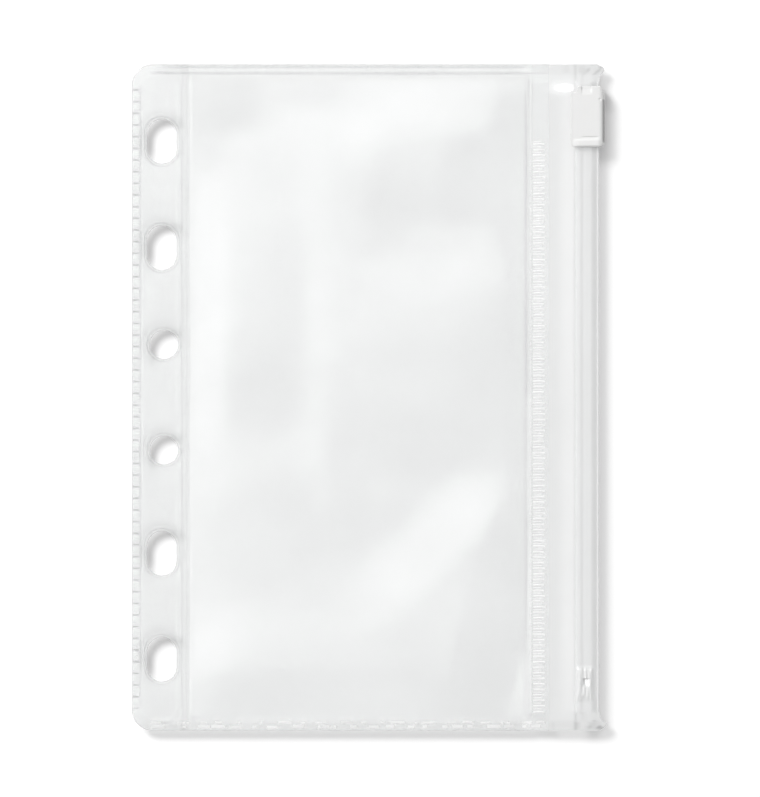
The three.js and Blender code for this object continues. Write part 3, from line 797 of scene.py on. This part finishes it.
def zip_strip(name, side, material):
    """One zip strip: its section carried along the zip, pressed flat and spread at both ends, with
    the staked stop raised on the outside."""
    profile = dense(strip_profile(side), 0.22)
    stations = lines(-HALF, (-HALF + 3.6, 20), (STAKE_TOP - STAKE_LENGTH - 0.6, 6),
                     (STAKE_TOP + 0.6, 56), (HALF - 8.0, 60), (HALF - 3.6, 16), (HALF, 20))
    v = stations[:, None]
    u = profile[None, :, 0]
    height = profile[None, :, 1] + 0 * v
    outward = smooth(height, 0.6, 0.9) * (u > RAIL_START - 0.2)
    height = height + outward * stake_relief(u, v)
    web = smooth(u, FILM_WIDTH + 0.3, FILM_WIDTH + 1.2) * smooth(RAIL_START - u, 0.1, 1.0)
    height = height + web * 0.02 * ripple(u, v, (9.0, 5.0), 41)
    spread = ear_reach(v) * np.maximum(0, (u - FILM_WIDTH) / (RIM - FILM_WIDTH))
    ends = smooth(np.abs(v), HALF - 2.2, HALF - 1.2) * smooth(u, FILM_WIDTH, FILM_WIDTH + 1)
    height = height + ends * END_CRINKLE * ripple(u, v, (1.1, 2.3), 43) * (height > 0.3)
    w = WELD + side * height * crush(v)
    sections = np.stack([u + spread, v + 0 * u, w], axis=-1)
    if side < 0:
        sections = sections[:, ::-1]
    points, faces = swept(sections)
    dark = smooth(points[:, 0], RAIL_START - 0.5, RAIL_START + 0.5)
    beyond = smooth(points[:, 0], FILM_WIDTH - 0.5, FILM_WIDTH)
    dark = np.maximum(dark, 0.8 * beyond * smooth(-points[:, 1], HALF - 2.2, HALF - 1.6))
    shade = FLANGE_SHADE + (WEB_SHADE - FLANGE_SHADE) * beyond + (RAIL_SHADE - WEB_SHADE) * dark
    made = piece(name, points, faces, material, "pocket", shade,
                 strip_tone_and_painted_shade(points), sharp=50)
    if side > 0:
        show_gleam(made)
    return made


def show_gleam(made):
    """Turns the web's normals to the light over a small oval beside the slider's park, where the
    strip is pinched, by the light's way times the gleam's tilt times a bell. The slopes of the
    pressed ends are levelled."""
    mesh = made.data
    place, own = points_and_normals(mesh)
    bell = groove(place[:, 0] - EDGE - GLEAM[0], 2.5) * groove(place[:, 1] - GLEAM[1], 0.9)
    bell *= (own[:, 2] > 0.5) * (place[:, 2] > WELD + 0.3)
    levelled = end_levelling(place[:, 0] - EDGE, place[:, 1], own[:, 2])
    own[:, :2] *= 1 - levelled[:, None]
    own[:, :2] += GLEAM_TILT * bell[:, None] * LIGHT
    own /= np.linalg.norm(own, axis=1, keepdims=True)
    own[bell + levelled < 0.02] = 0
    mesh.normals_split_custom_set_from_vertices(own.tolist())


def slider_section():
    """The slider's C section as (u, height over the weld plane), from the mouth's lower lip round
    the outside and back through the channel."""
    lip = SLIDER_START + 0.7
    web = SLIDER_END - 0.75
    face = 2.1
    channel = RAIL + 0.12
    mouth = 0.7
    return rounded_outline([
        (SLIDER_START, -mouth, 0.12), (SLIDER_START, -face, 0.12), (SLIDER_END, -face, 1.15),
        (SLIDER_END, face, 1.15), (SLIDER_START, face, 0.12), (SLIDER_START, mouth, 0.12),
        (lip, mouth, 0.12), (lip, channel, 0.08), (web, channel, 0.25), (web, -channel, 0.25),
        (lip, -channel, 0.08), (lip, -mouth, 0.12),
    ], steps=8)


def slider_relief(u, v):
    """What stands out of the slider's two faces or is sunk in them: the grip bar at its lower end
    with a fine groove above it, the thumb ramp at its upper end, and a small moulding mark."""
    bar_u = smooth(u, SLIDER_START + 0.2, SLIDER_START + 1.5) * smooth(SLIDER_END - u, 0.55, 1.4)
    bar = smooth(v, SLIDER_LOW + 0.05, SLIDER_LOW + 0.35) * smooth(SLIDER_LOW + 1.55 - v, 0, 0.4)
    line_u = smooth(u, SLIDER_START + 1.7, SLIDER_START + 2.3) * smooth(SLIDER_END - u, 1.0, 1.5)
    line = groove(v - SLIDER_LOW - 1.8, 0.13)
    ramp_u = smooth(u, SLIDER_START + 1.9, SLIDER_START + 2.05) * smooth(SLIDER_START + 3.85 - u, 0, 0.15)
    ramp = np.clip((v - SLIDER_TOP + 1.6) / 1.6, 0, 1)
    mark = groove(np.hypot(u - SLIDER_END + 0.85, (v - SLIDER_TOP + 2.45) * 1.3), 0.2)
    return 0.15 * bar * bar_u - 0.1 * line * line_u - 0.25 * ramp * ramp_u - 0.22 * mark


def slider(material):
    """The slider: its C section carried along the zip, drawn in by a quarter round at both ends,
    with its lower corners rounded, the upper right one cut back, the upper left one lowered, and
    the relief of its two faces."""
    outline = dense(slider_section(), 0.14)
    length = SLIDER_TOP - SLIDER_LOW
    v = lines(SLIDER_LOW, (SLIDER_LOW + 0.3, 6), (SLIDER_LOW + 2.4, 24), (SLIDER_TOP - 3.2, 12),
              (SLIDER_TOP - 0.3, 30), (SLIDER_TOP, 6))[:, None]
    from_end = np.minimum(v - SLIDER_LOW, SLIDER_TOP - v)
    soft = 0.16
    inset = soft - np.sqrt(np.maximum(soft ** 2 - np.maximum(soft - from_end, 0) ** 2, 0))
    u, height = outline[None, :, 0] + 0 * v, outline[None, :, 1] + 0 * v
    outside = (np.abs(height) > 1.9) | (u > SLIDER_END - 0.5) | (u < SLIDER_START + 0.05)
    face = smooth(np.abs(height), 1.95, 2.08)
    height = height + np.sign(height) * face * slider_relief(u, v)
    middle_u = (SLIDER_START + SLIDER_END) / 2
    u = u - np.where(outside, np.sign(u - middle_u) * inset * smooth(np.abs(u - middle_u), 1.8, 2.8), 0)
    height = height - np.where(outside, np.sign(height) * inset * smooth(np.abs(height), 0.3, 1.5), 0)
    cut = 0.75 * smooth(v, SLIDER_TOP - 1.0, SLIDER_TOP) * smooth(u, SLIDER_END - 1.0, SLIDER_END)
    corner = 0.8
    turn = np.maximum(corner - (v - SLIDER_LOW), 0)
    rounded = corner - np.sqrt(corner ** 2 - turn ** 2)
    on_left = 1 - smooth(u, SLIDER_START, SLIDER_START + 1.4)
    on_right = smooth(u, SLIDER_END - 1.4, SLIDER_END)
    u = u - cut + rounded * (on_left - on_right)
    lowered = 1.1 * (1 - smooth(u, SLIDER_START + 0.9, SLIDER_START + 1.3))
    v = v - lowered * smooth(v, SLIDER_TOP - 3.0, SLIDER_TOP)
    sections = np.stack([u, v + 0 * u, WELD + height], axis=-1)
    points, faces = swept(sections)
    # painted shade: the colour is darkened in a band along the slider's right side and a little at its
    # left edge
    from_ends = np.minimum(points[:, 1] - SLIDER_LOW - 0.6, SLIDER_TOP - 2.2 - points[:, 1])
    back = smooth(points[:, 0], SLIDER_END - 0.55, SLIDER_END - 0.3) * smooth(from_ends, 0, 0.5)
    front = 1 - smooth(points[:, 0], SLIDER_START + 0.1, SLIDER_START + 0.3)
    tone_and_painted_shade = 1 - 0.5 * back - 0.12 * front
    return piece("slider_body", points, faces, material, "zip_slider",
                 SLIDER_SHADE, tone_and_painted_shade, sharp=40)


def separator_blade(material):
    """The blade that stands on the slider's web in the groove between the two rims: an outline
    along the zip, thick at its root and drawn in to its tip."""
    tip = RIM - 0.95
    root = SLIDER_END - 0.5
    start = SLIDER_TOP - 3.4
    end = SLIDER_TOP - 0.35
    outline = rounded_outline([(root, start, 0), (root, end, 0), (tip, end, 0.3), (tip, start + 1.2, 0.5)])
    shares = np.array([-1.0, -0.8, 0.8, 1.0])[:, None]
    inset = np.array([0.1, 0.0, 0.0, 0.1])[:, None]
    pulled = 1 - inset * smooth(root - outline[None, :, 0], 0.1, 1.0)
    u = root + (outline[None, :, 0] - root) * pulled
    sections = np.stack([u, outline[None, :, 1] + 0 * u, WELD + 0.3 * shares + 0 * u], axis=-1)
    points, faces = swept(sections)
    return piece("separator_blade", points, faces, material, "zip_slider",
                 SLIDER_SHADE, sharp=40)


def shader(tree, kind, **settings):
    """A new node with its input sockets set to plain values or linked, by name."""
    node = tree.nodes.new(kind)
    for name, value in settings.items():
        socket = node.inputs[name.replace("_", " ")]
        if isinstance(value, bpy.types.NodeSocket):
            tree.links.new(value, socket)
        else:
            socket.default_value = value
    return node


def maths(tree, operation, first, second):
    """The value of a Math node over two linked values."""
    node = tree.nodes.new("ShaderNodeMath")
    node.operation = operation
    tree.links.new(first, node.inputs[0])
    tree.links.new(second, node.inputs[1])
    return node.outputs[0]


def show_mixed(tree, share, first, second):
    """Gives the material two shaders, mixed by a share of the second."""
    mixed = tree.nodes.new("ShaderNodeMixShader")
    tree.links.new(share, mixed.inputs[0])
    tree.links.new(first.outputs[0], mixed.inputs[1])
    tree.links.new(second.outputs[0], mixed.inputs[2])
    tree.links.new(mixed.outputs[0], tree.nodes["Material Output"].inputs["Surface"])


def attribute(tree, name):
    """The value that a mesh holds under that name, as a grey."""
    node = tree.nodes.new("ShaderNodeAttribute")
    node.attribute_name = name
    return node.outputs["Color"]


def moulded_surface():
    """A node group for every finish here: slow waves and fine grain as a height, and the cloudy
    marks that handling leaves, as a value from 0 to 1."""
    group = bpy.data.node_groups.new("moulded_surface", "ShaderNodeTree")
    sockets = group.interface
    for name, value in (("Wave Scale", 120.0), ("Grain Scale", 2500.0), ("Grain", 0.03)):
        sockets.new_socket(name, in_out="INPUT", socket_type="NodeSocketFloat").default_value = value
    for name in ("Height", "Marks"):
        sockets.new_socket(name, in_out="OUTPUT", socket_type="NodeSocketFloat")
    given = group.nodes.new("NodeGroupInput")
    result = group.nodes.new("NodeGroupOutput")
    place = group.nodes.new("ShaderNodeTexCoord").outputs["Object"]
    noise = "ShaderNodeTexNoise"
    wave = shader(group, noise, Vector=place, Scale=given.outputs["Wave Scale"], Detail=1.5)
    grain = shader(group, noise, Vector=place, Scale=given.outputs["Grain Scale"], Detail=2.0)
    cloud = shader(group, noise, Vector=place, Scale=45.0, Detail=5.0, Roughness=0.6)
    fine = maths(group, "MULTIPLY", grain.outputs[0], given.outputs["Grain"])
    height = maths(group, "ADD", wave.outputs[0], fine)
    group.links.new(height, result.inputs["Height"])
    marks = shader(group, "ShaderNodeMapRange", Value=cloud.outputs[0], From_Min=0.45, From_Max=0.7)
    group.links.new(marks.outputs[0], result.inputs["Marks"])
    return group


def dressed(name, surface, pale, marked, smoothness, smudged, bump, wave_scale, **constants):
    """A material whose colour and roughness run from clean to marked, with the surface's height
    behind its normal. Gives the material, its tree and its Principled node."""
    made = bpy.data.materials.new(name)
    made.use_nodes = True
    tree = made.node_tree
    principled = tree.nodes["Principled BSDF"]
    for socket, value in constants.items():
        principled.inputs[socket.replace("_", " ")].default_value = value
    skin = tree.nodes.new("ShaderNodeGroup")
    skin.node_tree = surface
    skin.inputs["Wave Scale"].default_value = wave_scale
    colour = tree.nodes.new("ShaderNodeMix")
    colour.data_type = "RGBA"
    tree.links.new(skin.outputs["Marks"], colour.inputs["Factor"])
    colour.inputs[6].default_value = (*pale, 1)
    colour.inputs[7].default_value = (*marked, 1)
    # the colour is multiplied by the mesh's tone attribute, which carries painted shade
    tone_and_painted_shade_mix = tree.nodes.new("ShaderNodeMix")
    tone_and_painted_shade_mix.data_type = "RGBA"
    tone_and_painted_shade_mix.blend_type = "MULTIPLY"
    tone_and_painted_shade_mix.inputs["Factor"].default_value = 1.0
    tree.links.new(colour.outputs[2], tone_and_painted_shade_mix.inputs[6])
    tree.links.new(attribute(tree, "tone_and_painted_shade"), tone_and_painted_shade_mix.inputs[7])
    tree.links.new(tone_and_painted_shade_mix.outputs[2], principled.inputs["Base Color"])
    rough = shader(tree, "ShaderNodeMapRange", Value=skin.outputs["Marks"],
                   To_Min=smoothness, To_Max=smudged)
    tree.links.new(rough.outputs[0], principled.inputs["Roughness"])
    relief = shader(tree, "ShaderNodeBump", Height=skin.outputs["Height"], Distance=bump, Strength=1.0)
    tree.links.new(relief.outputs[0], principled.inputs["Normal"])
    return made, tree, principled


def clear_vinyl(name, surface, haze, pale=(0.97, 0.975, 0.975), marked=(0.95, 0.955, 0.955), **finish):
    """Clear or milky vinyl. Lamps pass it on their way to the table, dimmed by the mesh's shade."""
    made, tree, principled = dressed(name, surface, pale, marked,
                                     IOR=1.6, Transmission_Weight=1.0 - haze, **finish)
    path = tree.nodes.new("ShaderNodeLightPath")
    lighting = maths(tree, "MAXIMUM", path.outputs["Is Shadow Ray"], path.outputs["Is Diffuse Ray"])
    passing = shader(tree, "ShaderNodeBsdfTransparent", Color=attribute(tree, "shade"))
    show_mixed(tree, lighting, principled, passing)
    return made


def table_top():
    """The white table: a matt white that the camera, and what it sees in or through the plastic,
    meets a little brighter than it lights the pocket, with the shadow kept."""
    made = bpy.data.materials.new("white_table")
    made.use_nodes = True
    tree = made.node_tree
    tree.nodes.remove(tree.nodes["Principled BSDF"])
    path = tree.nodes.new("ShaderNodeLightPath")
    seen = path.outputs["Is Camera Ray"]
    for name in ("Is Glossy Ray", "Is Transmission Ray"):
        seen = maths(tree, "MAXIMUM", seen, path.outputs[name])
    plain = shader(tree, "ShaderNodeBsdfDiffuse", Color=(0.8, 0.8, 0.8, 1))
    bright = shader(tree, "ShaderNodeBsdfDiffuse", Color=(TABLE_SEEN,) * 3 + (1,))
    show_mixed(tree, seen, plain, bright)
    return made


def table():
    """A wide disc just under the pocket."""
    mesh = bpy.data.meshes.new("table")
    turn = np.arange(TABLE_SIDES) * 2 * math.pi / TABLE_SIDES
    height = np.full(TABLE_SIDES, -TABLE_GAP * MM)
    rim = np.stack([TABLE_RADIUS * np.cos(turn), TABLE_RADIUS * np.sin(turn), height], axis=-1)
    mesh.from_pydata(rim.tolist(), [], [list(range(TABLE_SIDES))])
    mesh.materials.append(table_top())
    made = in_scene("table", mesh)


def ramp(tree, value, low, high, start, end):
    """A value that runs softly from start to end while the given one runs from low to high."""
    node = shader(tree, "ShaderNodeMapRange", Value=value, From_Min=low, From_Max=high,
                  To_Min=start, To_Max=end)
    node.interpolation_type = "SMOOTHSTEP"
    return node.outputs[0]


def sky(base, card, border, card_low):
    """The room: dim overhead, white at the horizon, and on the light's side of the zenith a broad
    bright card, soft along its border through the zenith, down to the height card_low."""
    world = bpy.data.worlds.new("studio")
    bpy.context.scene.world = world
    world.use_nodes = True
    tree = world.node_tree
    way = tree.nodes.new("ShaderNodeTexCoord").outputs["Generated"]
    along = tree.nodes.new("ShaderNodeVectorMath")
    along.operation = "DOT_PRODUCT"
    tree.links.new(way, along.inputs[0])
    along.inputs[1].default_value = (*LIGHT, 0)
    height = shader(tree, "ShaderNodeSeparateXYZ", Vector=way).outputs["Z"]
    beside = ramp(tree, along.outputs["Value"], -0.7 * border, 1.3 * border, 0.0, card - base)
    above = ramp(tree, height, card_low - 0.08, card_low, 0.0, 1.0)
    room = ramp(tree, height, 0.12, 0.4, 1.0, base)
    total = maths(tree, "ADD", maths(tree, "MULTIPLY", beside, above), room)
    background = tree.nodes["Background"]
    background.inputs["Color"].default_value = (1, 1, 1, 1)
    tree.links.new(total, background.inputs["Strength"])


def key_light(tilt, width, distance, power):
    """A round soft box at the upper left, pointed at the pocket."""
    lamp = bpy.data.lights.new("key_light", "AREA")
    lamp.shape = "DISK"
    lamp.size = width
    lamp.energy = power
    made = in_scene("key_light", lamp)
    lean = math.radians(tilt)
    way = Vector((*(LIGHT * math.sin(lean)), math.cos(lean)))
    made.location = way * distance
    made.rotation_euler = way.to_track_quat("Z", "Y").to_euler()


def camera():
    """Straight above, at the scale of the photograph: 797 pixels for its height in millimetres."""
    lens = bpy.data.cameras.new("camera")
    lens.lens = 600
    lens.sensor_width = 36
    made = in_scene("camera", lens)
    distance = PHOTO_HEIGHT * lens.lens / lens.sensor_width
    made.location = (PHOTO_MIDDLE[0] * MM, PHOTO_MIDDLE[1] * MM, (distance + WELD) * MM)
    lens.clip_start = 0.01
    bpy.context.scene.camera = made


camera()
table()
sky(base=0.2, card=1.54, border=0.1, card_low=0.95)
key_light(tilt=45, width=1.0, distance=2.6, power=60)

surface = moulded_surface()
film_material = clear_vinyl("clear_film", surface, haze=0.15,
                            smoothness=0.05, smudged=0.11, bump=0.00002, wave_scale=160.0)
rib_material = clear_vinyl("pressed_film", surface, haze=0.9, pale=(1, 1, 1), marked=(0.98, 0.98, 0.98),
                           smoothness=0.1, smudged=0.15, bump=0.00001, wave_scale=160.0)
zip_material = clear_vinyl("clear_zip", surface, haze=0.6,
                           smoothness=0.18, smudged=0.26, bump=0.00003, wave_scale=240.0)
slider_material = clear_vinyl("milky_plastic", surface, haze=0.85,
                              pale=(0.9, 0.9, 0.895), marked=(0.88, 0.88, 0.875),
                              smoothness=0.4, smudged=0.5, bump=0.00002, wave_scale=300.0)

FRONT_DENTS = dent_heights()
front_sheet = sheet("front_sheet", 1, film_material)
back_sheet = sheet("back_sheet", -1, film_material)
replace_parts(front_sheet, "front_film")
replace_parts(back_sheet, "back_film")
zip_ribs(rib_material)
seam_bars(rib_material)
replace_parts(zip_strip("front_zip_strip", 1, zip_material), "zip_front_strip")
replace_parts(zip_strip("back_zip_strip", -1, zip_material), "zip_back_strip")
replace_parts(slider(slider_material), "slider")
separator_blade(slider_material)

scene = bpy.context.scene
scene.view_settings.view_transform = "Standard"
scene.cycles.transparent_max_bounces = 32
scene.cycles.max_bounces = 24
scene.cycles.transmission_bounces = 24
